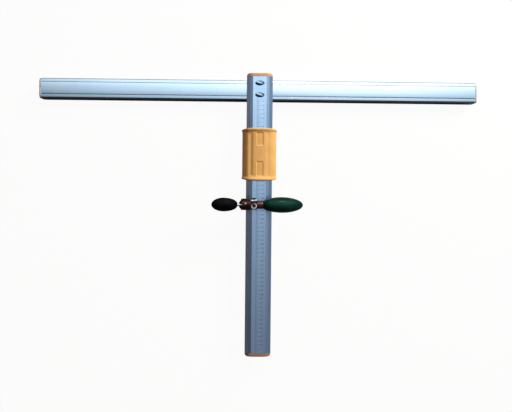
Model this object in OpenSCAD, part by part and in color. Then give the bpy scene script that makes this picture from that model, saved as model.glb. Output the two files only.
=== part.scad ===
// Cutting ruler lying flat. Millimetres, +Z up, the fence along X and the ruler bar towards -Y.
// The origin is the middle of the fence's underside, below the crossing of the two bars.

/* [Ruler bar] */
// Length of the bar between its end caps
bar_length = 661; // [500:1:1200]
// How far the bar reaches past the fence's centre line
bar_overhang = 30.5; // [26:0.5:60]
// Width across the bar
bar_width = 62; // [58:0.5:76]
// Height of the bar
bar_height = 14; // [13:0.5:26]
// Width of the flat top
bar_flat = 32; // [28:0.5:36]
// Width of the shallow shoulder beside the flat top
bar_shoulder = 7; // [5:0.5:8]
// How far the shoulder falls
bar_shoulder_drop = 2.2; // [1:0.1:2.8]
// Height of the upright sides
bar_side = 3.5; // [3:0.1:4.4]
// Width of the bevel at the bottom
bar_bevel_width = 6; // [4:0.5:8]
// Height of the bevel at the bottom
bar_bevel_height = 3.5; // [2.5:0.1:4.4]
// Wall of the extrusion
bar_wall = 2; // [1.4:0.1:2.4]
// Width of the scale strip
scale_width = 24; // [16:0.5:27]
// Thickness of the scale strip, which lies in a groove as deep
scale_thick = 0.6; // [0.4:0.1:0.9]

/* [End caps] */
// Thickness of a ruler cap outside the bar
cap_flange = 7.5; // [5:0.5:12]
// How far a ruler cap's plug goes into the bar
cap_plug = 12; // [8:0.5:20]
// Radius of a ruler cap's corners seen from above
cap_corner = 6; // [3:0.5:7]
// Thickness of a fence cap outside the fence
fence_cap = 4.6; // [3:0.2:8]
// How far a fence cap's plug goes into the fence
fence_plug = 12; // [8:0.5:20]
// Wall of the hollow plugs
plug_wall = 2; // [1.4:0.1:2.4]

/* [Fence] */
// Overall length of the fence with its caps
fence_length = 1057; // [600:1:1400]
// Width of the fence
fence_width = 49; // [47:0.5:60]
// Height of the fence
fence_height = 28; // [25:0.5:36]
// Width of the flat top
fence_flat = 29.4; // [26:0.2:32]
// Width of the sloping shoulder beside the flat top
fence_shoulder = 6; // [4:0.2:7]
// How far the shoulder falls
fence_shoulder_drop = 1.8; // [1:0.1:3]
// Height of the rounded edge below the shoulder
fence_edge = 6.2; // [4:0.1:8]
// Wall of the extrusion
fence_wall = 2.2; // [1.8:0.1:3]
// Side of the square that cuts the fine lines along the flat top
fence_line = 0.9; // [0.6:0.1:1.2]

/* [Crossing] */
// Distance between the two screws
screw_pitch = 28.2; // [26:0.1:29]
// Diameter of the screws
screw_d = 8; // [5:0.5:8]
// How far the screws reach past the threaded plate
screw_end = 2; // [1:0.5:6]
// Length of the oval screw head, across the ruler bar
head_length = 22; // [16:0.5:23]
// Width of the oval screw head, along the ruler bar
head_width = 11.4; // [11:0.1:14]
// Height of the screw head
head_height = 4; // [3.2:0.1:6]
// Height of the head's wider lower part
head_base = 2; // [1:0.1:2.8]
// How far the upper part is set in from the lower part
head_step = 1.2; // [0.6:0.1:2]
// Width of the screwdriver slot
slot_width = 2.6; // [1.6:0.1:3]
// Depth of the screwdriver slot
slot_depth = 2; // [1:0.1:2.6]
// Angle at which the slots happen to stand
slot_angle = -26; // [-80:1:80]
// Outer diameter of the tubes between the bar's walls
spacer_d = 14; // [12:0.5:18]
// Thickness of the threaded plate inside the fence
nut_plate_thick = 6; // [4:0.5:8]
// Length of the threaded plate along the fence
nut_plate_length = 34; // [20:1:60]
// Rim of the threaded plate beyond the screws
nut_plate_rim = 2; // [1:0.1:3]
// Radius of the threaded plate's corners
nut_plate_corner = 3; // [1:0.5:5]

/* [Grip] */
// Distance from the fence's centre line to the middle of the grip at rest
grip_distance = 155.8; // [100:0.1:185]
// Length of the grip
grip_length = 124.5; // [110:0.5:140]
// Wall beside the bar
grip_side = 9.2; // [8.6:0.1:12]
// Wall above and below the bar
grip_cover = 7; // [6:0.1:10]
// Exponent of the rounded section, where 2 is an ellipse
grip_squareness = 2.8; // [2.4:0.1:3.6]
// How far the lips stand out at the ends
lip_reach = 1.6; // [0.8:0.1:2.5]
// Length of a lip along the bar
lip_length = 4.6; // [3:0.2:8]
// Length of the hollow curve from a lip to the body
flare_length = 6; // [3:0.5:10]
// How far the corners of the ends draw back from their middle
end_arch = 4.2; // [1:0.2:6]
// Distance from the middle to each long groove
groove_at = 17.5; // [14:0.5:20]
// Depth of the long grooves
groove_depth = 1.4; // [0.8:0.1:2]
// Radius of the tool that cuts the long grooves
groove_radius = 3; // [2:0.1:4]
// Width of the two shallow pockets
pocket_width = 17; // [10:0.5:20]
// Length of the pocket nearer to the fence
near_pocket = 30; // [20:0.5:36]
// Length of the pocket further from the fence
far_pocket = 34.5; // [20:0.5:36]
// Distance from each pocket to its end of the grip
pocket_inset = 10.8; // [10:0.2:16]
// Depth of the pockets
pocket_depth = 2; // [1:0.1:3]
// Diameter of the grip's screws
grip_screw_d = 3.4; // [2.6:0.1:3.6]
// Distance from the bar to the axis of each grip screw
grip_screw_side = 4; // [3.6:0.1:4.6]
// Distance from each pair of grip screws to its end of the grip
grip_screw_inset = 20; // [14:0.5:30]
// Depth of the screw heads' seats below the joint of the two shells
grip_screw_seat = 5; // [3:0.1:5.4]
// How far the grip's screws reach above the joint
grip_screw_reach = 6.5; // [4:0.1:7]
// Length of the leaf spring
leaf_length = 64; // [40:1:72]
// Width of the leaf spring
leaf_width = 14; // [8:0.5:20]
// Thickness of the leaf spring
leaf_thick = 0.6; // [0.4:0.1:1]
// Depth of the pocket that holds the leaf spring
leaf_pocket = 3.4; // [3:0.1:4.4]
// Free space around the leaf spring in its pocket
leaf_room = 1; // [0.4:0.1:3]

/* [Carriage] */
// Cutting distance that is set at rest, from the fence's face to the wheel
cut_distance = 250; // [245:0.5:450]
// Length of the carriage along the bar
carriage_length = 25; // [24:0.5:30]
// Width of each cheek beside the bar
cheek = 10.6; // [10:0.1:13]
// How far the right cheek reaches over the bar
cheek_lap = 3; // [1:0.1:6]
// Thickness of the bridge over the bar
bridge_thick = 5.5; // [4:0.1:6]
// Width of the bridge's narrow waist
bridge_waist = 17; // [12:0.5:18]
// Height of the handles' axis above the bar
axis_height = 25; // [24.8:0.1:32]
// Diameter of the drum that carries the spindle
drum_d = 25; // [22:0.5:27]
// Length of the drum
drum_length = 21; // [18:0.5:24]
// Length of the drum's tapered nose
nose_length = 5.5; // [4:0.5:8]
// Diameter at the tip of the nose
nose_d = 11; // [10:0.5:14]
// Width of the V notch above the nose
notch_width = 8.8; // [7.4:0.1:9.6]
// Length of the V notch
notch_length = 9.5; // [5:0.5:12]
// Distance from the bar's middle to the drum's flat end
drum_end = 20; // [19:0.5:21]
// Distance from the drum's flat end to the far side of the screw block
block_length = 14.8; // [14:0.1:15]
// How far the block reaches towards the fence from the carriage's middle
block_front = 9; // [8.8:0.1:11]
// How far the block reaches away from the fence
block_back = 10.5; // [8.8:0.1:12]
// How far the block stands above the axis
block_rise = 9.5; // [8.6:0.1:11]
// Thickness of the plate under the bar
plate_thick = 5; // [4.4:0.1:7]
// Diameter of the plate's screws
plate_screw_d = 4; // [3:0.1:4.2]
// How far the plate's screws reach into the cheeks
plate_screw_reach = 8.4; // [6:0.1:12]
// Distance from the bar's bore to the plate screws' axes
plate_screw_side = 2.8; // [2.6:0.1:3.2]
// Distance from each end of the carriage to the plate screws' axes
plate_screw_inset = 4; // [3.6:0.1:4.2]
// Depth of the heads of the plate's screws below its underside
plate_head_depth = 0.2; // [0.1:0.1:0.6]
// Depth of the seats of the nylon glide pads
pad_seat = 2; // [1.4:0.1:3]
// Width of each glide pad's seat
pad_width = 12; // [8:0.5:14]
// Distance from each end of the carriage to the seats of the glide pads
pad_inset = 3; // [2:0.1:6]
// Thickness of the index plate
index_thick = 2.6; // [2:0.1:3]
// Rim of the block left on each side of the index plate
index_rim = 0.5; // [0.2:0.1:1]
// How far the index plate stands above the block
index_rise = 0.8; // [0.2:0.1:2]
// How far the index plate's reading edge reaches forward
index_foot = 3.4; // [2:0.1:6]
// Thickness of the reading edge
index_edge = 1.2; // [0.8:0.1:2]
// Diameter of the index plate's screws
index_screw_d = 3; // [2:0.1:3]
// Distance between the index plate's screws
index_screw_pitch = 8; // [6:0.1:8]
// How far the index plate's screws reach into the block
index_screw_reach = 5; // [3:0.1:7]

/* [Clamp] */
// Diameter of the clamp spindle
spindle_d = 7; // [6:0.1:7.6]
// Length of the cone at the spindle's tip
cone_length = 7; // [6:0.1:8]
// Flat left at the tip of the cone
cone_tip = 1; // [0.6:0.1:1.6]
// How far the cone would reach past the shoe's axis
cone_past = 3; // [2.4:0.1:3.6]
// Diameter of the clamp shoe
shoe_d = 9; // [7:0.1:9.2]
// How far the shoe stands off the block's middle, along the spindle
shoe_shift = 1.2; // [0.6:0.1:1.6]
// How far the shoe stands off the axis, along the bar
shoe_offset = 2; // [0.5:0.1:2.4]
// Free height under the shoe while the clamp is open
shoe_lift = 0.8; // [0.7:0.05:0.9]
// Diameter of the cover screw's head
cover_d = 13.5; // [12.6:0.1:14]
// Diameter of the cover screw's thread
cover_thread_d = 10; // [9.4:0.1:10.6]
// Width across the flats of its socket
cover_socket = 8; // [6:0.1:8.4]
// Height of its head
cover_head = 3; // [2:0.1:4]
// Free height between the cover screw and the spindle
cover_room = 1; // [0.5:0.1:2]
// Length of the black knob
knob_length = 60.5; // [50:0.5:66]
// Largest diameter of the black knob
knob_d = 32; // [24:0.5:34]
// Distance from the knob's neck to its widest place
knob_belly = 32; // [31:0.5:38]
// Half-length of the ellipse that draws the knob in towards its neck
knob_taper = 34; // [28:0.5:35]
// Wall of the knob's neck around the spindle
knob_neck_wall = 0.5; // [0.4:0.1:1.5]
// Length of spindle inside the knob
knob_depth = 40; // [20:0.5:46]
// Free length of spindle between knob and drum
spindle_free = 4; // [2:0.1:8]
// Diameter of the brake screw in the drum
brake_screw_d = 5; // [3:0.1:6]
// Angle by which the brake screw leans
brake_lean = 18; // [0:1:25]
// Distance from the drum's middle to the brake screw
brake_shift = 1; // [-2:0.1:3]
// Angle at which the brake screw's slot stands
brake_slot_angle = 35; // [0:1:90]

/* [Green handle] */
// Length of the whole ellipsoid that the handle is turned from
handle_span = 99.2; // [96:0.2:110]
// Largest diameter of the handle
handle_d = 36.5; // [30:0.5:36.8]
// Length of the ferrule
ferrule_length = 14.7; // [13:0.1:18]
// Diameter of the ferrule
ferrule_d = 19; // [18:0.1:22]
// Wall of the ferrule
ferrule_wall = 3.4; // [2:0.1:3.4]
// Distance from the ferrule to the tip of the ellipsoid
handle_length = 92.6; // [88:0.2:95]
// How much the ellipsoid's tip is cut flat
handle_flat = 0.3; // [0.2:0.1:1]
// Length of the boss that holds the bolt inside the ferrule
boss_length = 10.3; // [8:0.1:12]
// Diameter of the bolt's thread
bolt_d = 8; // [5:0.1:8.6]
// Length of the bolt's thread
bolt_thread = 9.3; // [6:0.1:10]
// Diameter of the bolt's shoulder inside the handle
shoulder_d = 10; // [8.8:0.1:11]
// Diameter of the bolt's head inside the handle
bolt_head_d = 12.6; // [12:0.1:13]
// Height of the bolt's head
bolt_head = 4; // [3:0.1:6]
// Width across the flats of the bolt's socket
bolt_socket = 6; // [4:0.1:7]
// Depth of the bolt's socket
bolt_socket_depth = 2; // [1:0.1:2.8]
// Distance from the tip of the ellipsoid to the inner end of its plug
handle_plug = 11; // [8:0.2:13]

/* [Cutter] */
// Diameter of the cutter post
post_d = 8; // [7:0.1:8.4]
// Distance from the bar's bore to the post's axis
post_offset = 8.6; // [8.2:0.1:9.2]
// How far the post can be raised
post_travel = 12; // [6:0.5:13]
// Free height left above the raised post
post_room = 0.8; // [0.3:0.1:2]
// Wall between the post's bore and the spindle's bore
post_bore_wall = 1.5; // [1:0.1:3]
// Outer diameter of the boss that guides the post
post_boss_d = 14; // [12.6:0.1:15]
// How far the boss stands above the post's bore
post_boss_cap = 2; // [1:0.1:3]
// Diameter of the screw that holds the post
set_screw_d = 5; // [3:0.1:6]
// Diameter of the cutting wheel
wheel_d = 10; // [8:0.1:10.4]
// Thickness of the cutting wheel
wheel_thick = 2.4; // [1.6:0.1:3]
// Width of the sharpened rim
wheel_edge = 1.4; // [0.8:0.1:2]
// Diameter of the wheel's axle
axle_d = 2.4; // [1.6:0.1:3]
// Free height under the fork
fork_rise = 2; // [1:0.1:2.6]
// Width of the fork along its axle
fork_width = 8.8; // [8:0.1:9]
// Length of the fork along the cut
fork_length = 6.8; // [5:0.1:7]
// Diameter of the fork's collar
collar_d = 10; // [9.6:0.1:10.2]
// Thickness of the fork's collar
collar_thick = 2.2; // [1.6:0.1:2.4]
// Free space around the collar where it rises into the plate
collar_room = 1; // [0.8:0.1:1.4]
// Diameter of the journal that turns in the post
journal_d = 4; // [3.4:0.1:4.2]
// Length of the journal
journal_length = 16; // [12:0.5:20]
// Diameter of the pin that holds the journal
pin_d = 1.6; // [1.2:0.1:1.8]
// How far the pin reaches into the journal
pin_bite = 0.6; // [0.4:0.05:0.7]
// Angle that the wheel can swivel to each side
swivel = 15; // [5:1:18]
// Angle left between the swivel's limit and the pin
swivel_room = 3; // [2:1:5]

/* [Clearances] */
// Between the bar and what slides on it
slide_gap = 0.35; // [0.25:0.05:0.5]
// Between the bar and the carriage's metal, which never touches it
casting_gap = 0.6; // [0.5:0.05:0.8]
// Radial clearance of what turns or slides in a bore
run_gap = 0.05; // [0.02:0.01:0.08]
// Between faces that pass each other
face_gap = 0.3; // [0.2:0.05:0.4]
// Radial clearance of fixed screws and plugs
fit_gap = 0.1; // [0.05:0.01:0.2]
// Width of the slots of the small screws
small_slot = 0.8; // [0.5:0.1:1.2]
// Depth of the slots of the small screws
small_slot_depth = 0.8; // [0.5:0.1:1.2]

/* [Hidden] */
$fn = 96;

// How far forms of one piece run into each other, and how far a cut runs past a surface
join = 1;
past = 1;

bar_bottom = fence_height;
bar_top = bar_bottom + bar_height;
bar_far = bar_overhang - bar_length;
grip_y = -grip_distance;
carriage_y = -fence_width / 2 - cut_distance;
axis_z = bar_top + axis_height;

bore_half = bar_width / 2 + casting_gap;
cheek_out = bore_half + cheek;
carriage_half = carriage_length / 2;
bridge_top = bar_top + casting_gap + bridge_thick;
plate_top = bar_bottom - casting_gap;
plate_bottom = plate_top - plate_thick;

drum_from = -drum_end - drum_length;
nose_tip = drum_from - nose_length;
block_from = -drum_end - join;
block_to = -drum_end + block_length;
block_middle = (block_from + block_to) / 2;
block_top = axis_z + block_rise;

ferrule_end = block_to + ferrule_length;
boss_end = block_to + boss_length;
boss_r = ferrule_d / 2 - ferrule_wall - fit_gap;
handle_from = ferrule_end + face_gap;
handle_tip = ferrule_end + handle_length;
handle_mid = handle_tip - handle_span / 2;
plug_from = handle_tip - handle_plug;
bolt_head_from = plug_from - bolt_head - 2 * face_gap;

knob_from = nose_tip - spindle_free;
shoe_x = block_middle + shoe_shift;
cone_end = shoe_x + cone_past;
cone_start = cone_end - cone_length;

post_x = -bore_half - post_offset;
wheel_r = wheel_d / 2;
fork_top = wheel_d + 2 * face_gap;
collar_top = fork_top + collar_thick;
post_bottom = collar_top + face_gap;
post_bore_top = axis_z - spindle_d / 2 - post_bore_wall;
post_top = post_bore_top - post_travel - post_room;

// Unit vector along v
function unit(v) = v / norm(v);

// Corner q of an outline that runs anticlockwise, moved inwards by d
function inset_corner(p, q, r, d) =
    let (u = unit(q - p), v = unit(r - q))
    q + d * ([-u.y, u.x] + [-v.y, v.x]) / (1 + u * v);

// Outline moved inwards by d, or outwards where d is negative
function inset(loop, d) =
    let (n = len(loop))
    [for (i = [0 : n - 1]) inset_corner(loop[(i + n - 1) % n], loop[i], loop[(i + 1) % n], d)];

// Right half of an outline, from bottom to top, joined to its mirror image
function both_sides(half) =
    concat(half, [for (i = [len(half) - 1 : -1 : 0]) [-half[i].x, half[i].y]]);

// Sections of the two bars and of the grip
bar_section = both_sides([
    [bar_width / 2 - bar_bevel_width, bar_bottom],
    [bar_width / 2, bar_bottom + bar_bevel_height],
    [bar_width / 2, bar_bottom + bar_bevel_height + bar_side],
    [bar_flat / 2 + bar_shoulder, bar_top - bar_shoulder_drop],
    [bar_flat / 2, bar_top]
]);
fence_rim = fence_flat / 2 + fence_shoulder;
fence_wall_top = fence_height - fence_shoulder_drop - fence_edge;
fence_section = both_sides(concat(
    [[fence_width / 2, 0]],
    [for (a = [0 : 15 : 90])
        [fence_rim + (fence_width / 2 - fence_rim) * cos(a), fence_wall_top + fence_edge * sin(a)]],
    [[fence_flat / 2, fence_height]]
));
grip_half_width = bar_width / 2 + grip_side + slide_gap;
grip_half_height = bar_height / 2 + grip_cover;
grip_middle = bar_bottom + bar_height / 2;
grip_top = grip_middle + grip_half_height;
grip_section = [for (a = [0 : 7.5 : 352.5]) [
    grip_half_width * sign(cos(a)) * pow(abs(cos(a)), 2 / grip_squareness),
    grip_middle + grip_half_height * sign(sin(a)) * pow(abs(sin(a)), 2 / grip_squareness)
]];
grip_bore = inset(bar_section, -slide_gap);

// Height of the grip's skin above the joint of its shells, at the distance x from its middle
function grip_rise(x) =
    grip_half_height * pow(1 - pow(x / grip_half_width, grip_squareness), 1 / grip_squareness);

// Section in X and Z drawn along the ruler bar, between two places on Y
module along_y(low, high)
    translate([0, high, 0]) rotate([90, 0, 0]) linear_extrude(height = high - low) children();

// Section in Y and Z drawn along the fence, between two places on X
module along_x(low, high)
    translate([low, 0, 0]) rotate([90, 0, 90]) linear_extrude(height = high - low) children();

// Rods along the three axes, each between two places
module rod_x(low, high, d, y = 0, z = 0)
    translate([low, y, z]) rotate([0, 90, 0]) cylinder(h = high - low, d = d);
module rod_y(low, high, d, x = 0, z = 0)
    translate([x, high, z]) rotate([90, 0, 0]) cylinder(h = high - low, d = d);
module rod_z(low, high, d, x = 0, y = 0)
    translate([x, y, low]) cylinder(h = high - low, d = d);

// Box between two corners
module box(low, high)
    translate(low) cube(high - low);

// Rectangle with round corners, centred
module round_rectangle(size, r) {
    square([size.x - 2 * r, size.y], center = true);
    square([size.x, size.y - 2 * r], center = true);
    for (x = [-1, 1], y = [-1, 1])
        translate([x * (size.x / 2 - r), y * (size.y / 2 - r)]) circle(r);
}

// Cut for a screwdriver, centred where it is placed
module slot_cut(length, width, depth)
    cube([length, width, 2 * depth], center = true);

// What rides on the bar is drawn about its own middle
module at_grip()
    translate([0, grip_y, 0]) children();
module at_carriage()
    translate([0, carriage_y, 0]) children();

module at_fence_screws()
    for (side = [-1, 1]) translate([0, side * screw_pitch / 2, 0]) children();

module ruler_bar() color([0.66, 0.74, 0.82])
    difference() {
        along_y(bar_far, bar_overhang) polygon(bar_section);
        along_y(bar_far - past, bar_overhang + past) polygon(inset(bar_section, bar_wall));
        box([-scale_width / 2, bar_far - past, bar_top - scale_thick],
            [scale_width / 2, -fence_width / 2, bar_top + past]);
        at_fence_screws() rod_z(bar_bottom - past, bar_top + past, screw_d + 2 * fit_gap);
    }

module scale_strip() color([0.72, 0.8, 0.88])
    box([-scale_width / 2, bar_far, bar_top - scale_thick], [scale_width / 2, -fence_width / 2, bar_top]);

// Plug cap pushed into one end of the ruler bar. It is drawn at the end y, reaching outwards by side.
module bar_cap(y, side) color([0.85, 0.5, 0.28])
    translate([0, y, 0]) scale([1, side, 1]) {
        skin = bar_wall + fit_gap;
        intersection() {
            along_y(0, cap_flange) polygon(bar_section);
            linear_extrude(height = bar_top + past)
                round_rectangle([bar_width, 2 * cap_flange], cap_corner);
        }
        difference() {
            along_y(-cap_plug, 0) polygon(inset(bar_section, skin));
            box([-bar_flat / 2, -cap_plug - past, bar_bottom + skin + plug_wall],
                [bar_flat / 2, -plug_wall, bar_top - skin - plug_wall]);
        }
    }

// The top cap's plug is relieved where it meets the tube of the nearer screw
module top_end_cap() color([0.85, 0.5, 0.28])
    difference() {
        bar_cap(bar_overhang, 1);
        at_fence_screws() rod_z(bar_bottom, bar_top, spacer_d + 2 * face_gap);
    }

module bottom_end_cap() bar_cap(bar_far, -1);

module fence_bar() color([0.8, 0.88, 0.94])
    difference() {
        along_x(fence_cap - fence_length / 2, fence_length / 2 - fence_cap) polygon(fence_section);
        along_x(-fence_length / 2, fence_length / 2) polygon(inset(fence_section, fence_wall));
        for (side = [-1, 1])
            translate([0, side * fence_flat / 2, fence_height]) rotate([45, 0, 0])
                cube([fence_length, fence_line, fence_line], center = true);
        at_fence_screws()
            rod_z(fence_wall_top, fence_height + past, screw_d + 2 * fit_gap);
    }

// Cap at one end of the fence: a thin plate with a hollow plug
module fence_end(side) color([0.45, 0.47, 0.5])
    scale([side, 1, 1]) translate([fence_length / 2 - fence_cap, 0, 0]) {
        skin = fence_wall + fit_gap;
        along_x(0, fence_cap) polygon(fence_section);
        difference() {
            along_x(-fence_plug, 0) polygon(inset(fence_section, skin));
            box([-fence_plug - past, -fence_flat / 2, skin + plug_wall],
                [-plug_wall, fence_flat / 2, fence_height - skin - plug_wall - fence_shoulder_drop]);
        }
    }

module fence_cap_left() fence_end(-1);
module fence_cap_right() fence_end(1);

// Oval outline of a screw head, smaller all round by d
function head_outline(d) =
    [for (a = [0 : 15 : 345]) [(head_length / 2 - d) * cos(a), (head_width / 2 - d) * sin(a)]];

module fence_screws() color([0.3, 0.4, 0.5])
    at_fence_screws() difference() {
        union() {
            rod_z(fence_height - fence_wall - nut_plate_thick - screw_end, bar_top, screw_d);
            translate([0, 0, bar_top]) linear_extrude(height = head_base) polygon(head_outline(0));
            translate([0, 0, bar_top]) linear_extrude(height = head_height)
                polygon(head_outline(head_step));
        }
        translate([0, 0, bar_top + head_height]) rotate([0, 0, slot_angle])
            slot_cut(2 * head_length, slot_width, slot_depth);
    }

module spacer_tubes() color([0.6, 0.62, 0.64])
    at_fence_screws() difference() {
        rod_z(bar_bottom + bar_wall, bar_top - bar_wall, spacer_d);
        rod_z(bar_bottom, bar_top, screw_d + 2 * fit_gap);
    }

// Threaded plate under the fence's top wall, bevelled where the fence's section closes in
module nut_plate() color([0.55, 0.57, 0.6])
    difference() {
        intersection() {
            translate([0, 0, fence_height - fence_wall - nut_plate_thick])
                linear_extrude(height = nut_plate_thick)
                    round_rectangle([nut_plate_length, screw_pitch + screw_d + 2 * nut_plate_rim],
                        nut_plate_corner);
            along_x(-nut_plate_length, nut_plate_length) polygon(inset(fence_section, fence_wall));
        }
        at_fence_screws() rod_z(0, fence_height, screw_d + 2 * fit_gap);
    }

// Skin through a row of like outlines, each in X and Z at its own place on Y, from low Y to high Y
module skin(outlines, places) {
    n = len(outlines[0]);
    rows = len(places);
    points = [for (i = [0 : rows - 1]) for (p = outlines[i]) [p.x, places[i], p.y]];
    sides = [for (i = [0 : rows - 2]) for (j = [0 : n - 1]) each [
        [i * n + j, i * n + (j + 1) % n, (i + 1) * n + j],
        [i * n + (j + 1) % n, (i + 1) * n + (j + 1) % n, (i + 1) * n + j]
    ]];
    near_end = [for (j = [1 : n - 2]) [0, j + 1, j]];
    far_end = [for (j = [1 : n - 2]) [(rows - 1) * n, (rows - 1) * n + j, (rows - 1) * n + j + 1]];
    polyhedron(points, concat(sides, near_end, far_end));
}

// Solid form of the whole grip: a body with a lip at each end and a hollow curve between them
module grip_form() {
    half = grip_length / 2;
    flare_steps = [0 : 22.5 : 90];
    near = [for (a = flare_steps) [half - lip_length - flare_length * sin(a), lip_reach * (1 - sin(a))]];
    rows = concat([[half, lip_reach]], near);
    all_rows = concat([for (r = rows) [-r.x, r.y]], [for (i = [len(rows) - 1 : -1 : 0]) rows[i]]);
    arch_r = (pow(grip_half_width, 2) + pow(end_arch, 2)) / (2 * end_arch);
    intersection() {
        skin([for (r = all_rows) inset(grip_section, -r.y)], [for (r = all_rows) r.x]);
        linear_extrude(height = bar_top + 2 * grip_cover) intersection() {
            translate([0, half - arch_r]) circle(arch_r, $fn = 360);
            translate([0, arch_r - half]) circle(arch_r, $fn = 360);
        }
    }
}

grip_head_d = grip_screw_d * 1.75;
grip_head_height = grip_screw_d / 2;

module at_grip_screws()
    for (x = [-1, 1], y = [-1, 1])
        translate([x * (bar_width / 2 + grip_screw_side), y * (grip_length / 2 - grip_screw_inset),
            grip_middle])
            children();

module grip_top_shell() color([0.93, 0.68, 0.3])
    at_grip() difference() {
        half = grip_length / 2;
        groove_end = half - lip_length - flare_length;
        intersection() {
            grip_form();
            box([-bar_width, -grip_length, grip_middle], [bar_width, grip_length, grip_top + grip_cover]);
        }
        along_y(-grip_length, grip_length) polygon(grip_bore);
        for (side = [-1, 1])
            rod_y(-groove_end, groove_end, 2 * groove_radius, side * groove_at,
                grip_middle + grip_rise(groove_at) + groove_radius - groove_depth);
        box([-pocket_width / 2, half - pocket_inset - near_pocket, grip_top - pocket_depth],
            [pocket_width / 2, half - pocket_inset, grip_top + past]);
        box([-pocket_width / 2, pocket_inset - half, grip_top - pocket_depth],
            [pocket_width / 2, pocket_inset - half + far_pocket, grip_top + past]);
        at_grip_screws() rod_z(-past, grip_screw_reach + face_gap, grip_screw_d + 2 * fit_gap);
    }

module grip_bottom_shell() color([0.93, 0.68, 0.3])
    at_grip() difference() {
        intersection() {
            grip_form();
            box([-bar_width, -grip_length, 0], [bar_width, grip_length, grip_middle]);
        }
        along_y(-grip_length, grip_length) polygon(grip_bore);
        box([-leaf_width / 2 - leaf_room, -leaf_length / 2 - leaf_room, bar_bottom - slide_gap - leaf_pocket],
            [leaf_width / 2 + leaf_room, leaf_length / 2 + leaf_room, bar_bottom]);
        at_grip_screws() {
            rod_z(-grip_middle, past, grip_screw_d + 2 * fit_gap);
            rod_z(-grip_middle, -grip_screw_seat, grip_head_d + 2 * fit_gap);
        }
    }

module grip_screws() color([0.55, 0.56, 0.58])
    at_grip() at_grip_screws() difference() {
        union() {
            rod_z(-grip_screw_seat, grip_screw_reach, grip_screw_d);
            rod_z(-grip_screw_seat - grip_head_height, -grip_screw_seat, grip_head_d);
        }
        translate([0, 0, -grip_screw_seat - grip_head_height])
            slot_cut(2 * grip_head_d, small_slot, small_slot_depth);
    }

// Bowed strip: its ends rest on the pocket's floor and its crown nearly touches the bar
module grip_leaf_spring() color([0.5, 0.52, 0.56]) {
    floor_z = bar_bottom - slide_gap - leaf_pocket;
    rise = bar_bottom - face_gap - leaf_thick - floor_z;
    r = (pow(leaf_length / 2, 2) + pow(rise, 2)) / (2 * rise);
    at_grip() intersection() {
        difference() {
            rod_x(-leaf_width / 2, leaf_width / 2, 2 * (r + leaf_thick), 0, floor_z + rise - r);
            rod_x(-leaf_width, leaf_width, 2 * r, 0, floor_z + rise - r);
        }
        box([-leaf_width, -leaf_length / 2, floor_z], [leaf_width, leaf_length / 2, bar_bottom]);
    }
}

plate_screw_x = bore_half + plate_screw_side;
plate_screw_y = carriage_half - plate_screw_inset;
plate_head_d = plate_screw_d * 1.6;
plate_head_height = plate_screw_d / 2;
plate_head_top = plate_bottom + plate_head_depth + plate_head_height;

module at_plate_screws()
    for (x = [-1, 1], y = [-1, 1])
        translate([x * plate_screw_x, y * plate_screw_y, 0]) children();

index_from = -drum_end + index_rim;
index_to = block_to - index_rim;
index_bottom = bar_top + face_gap;
index_back = block_front + index_thick;
index_head_d = index_screw_d * 1.7;
index_head_height = index_screw_d * 0.6;

module at_index_screws()
    for (side = [-1, 1])
        translate([(index_from + index_to) / 2 + side * index_screw_pitch / 2, 0,
            (bridge_top + axis_z) / 2])
            children();

// Place of the screw in the drum's upper side, with its axis upright before the lean
module at_brake_screw()
    translate([-drum_end - drum_length / 2 - brake_shift, 0, axis_z]) rotate([-brake_lean, 0, 0])
        children();

set_screw_z = (plate_top + bridge_top) / 2;

// Casting that arches over the bar, with the drum and the screw block on its bridge
module carriage_body() color([0.3, 0.16, 0.12])
    at_carriage() difference() {
        waist = bridge_waist / 2;
        union() {
            box([-cheek_out, -carriage_half, plate_top], [block_from, carriage_half, bridge_top]);
            box([bore_half - cheek_lap, -carriage_half, plate_top], [cheek_out, carriage_half, bridge_top]);
            box([block_from - join, -waist, bar_bottom], [bore_half, waist, bridge_top]);
            box([drum_from + join, -waist, bridge_top - join], [block_from, waist, axis_z]);
            rod_x(drum_from, -drum_end, drum_d, 0, axis_z);
            translate([nose_tip, 0, axis_z]) rotate([0, 90, 0])
                cylinder(h = nose_length, d1 = nose_d, d2 = drum_d);
            box([block_from, -block_back, bridge_top - join], [block_to, block_front, block_top]);
            rod_x(block_to - join, boss_end, 2 * boss_r, 0, axis_z);
            rod_z(plate_top, post_bore_top + post_boss_cap, post_boss_d, post_x);
        }
        along_y(-carriage_length, carriage_length) polygon(inset(bar_section, -casting_gap));
        rod_x(nose_tip - past, cone_end, spindle_d + 2 * run_gap, 0, axis_z);
        rod_x(boss_end - bolt_thread - face_gap, boss_end + past, bolt_d + 2 * fit_gap, 0, axis_z);
        rod_z(bar_top, axis_z, shoe_d + 2 * run_gap, shoe_x, -shoe_offset);
        rod_z(axis_z, block_top + past, cover_thread_d + 2 * fit_gap, shoe_x, -shoe_offset);
        rod_z(0, post_bore_top, post_d + 2 * run_gap, post_x);
        rod_x(post_x - post_boss_d, post_x, set_screw_d + 2 * fit_gap, 0, set_screw_z);
        at_plate_screws()
            rod_z(0, plate_top + plate_screw_reach + face_gap, plate_screw_d + 2 * fit_gap);
        at_index_screws()
            rod_y(block_front - index_screw_reach - face_gap, block_front + past,
                index_screw_d + 2 * fit_gap);
        at_brake_screw() rod_z(0, drum_d, brake_screw_d + 2 * fit_gap);
        translate([nose_tip, 0, axis_z]) linear_extrude(height = drum_d) polygon([
            [-past, -notch_width / 2], [0, -notch_width / 2], [notch_length, 0],
            [0, notch_width / 2], [-past, notch_width / 2]
        ]);
    }

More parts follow.
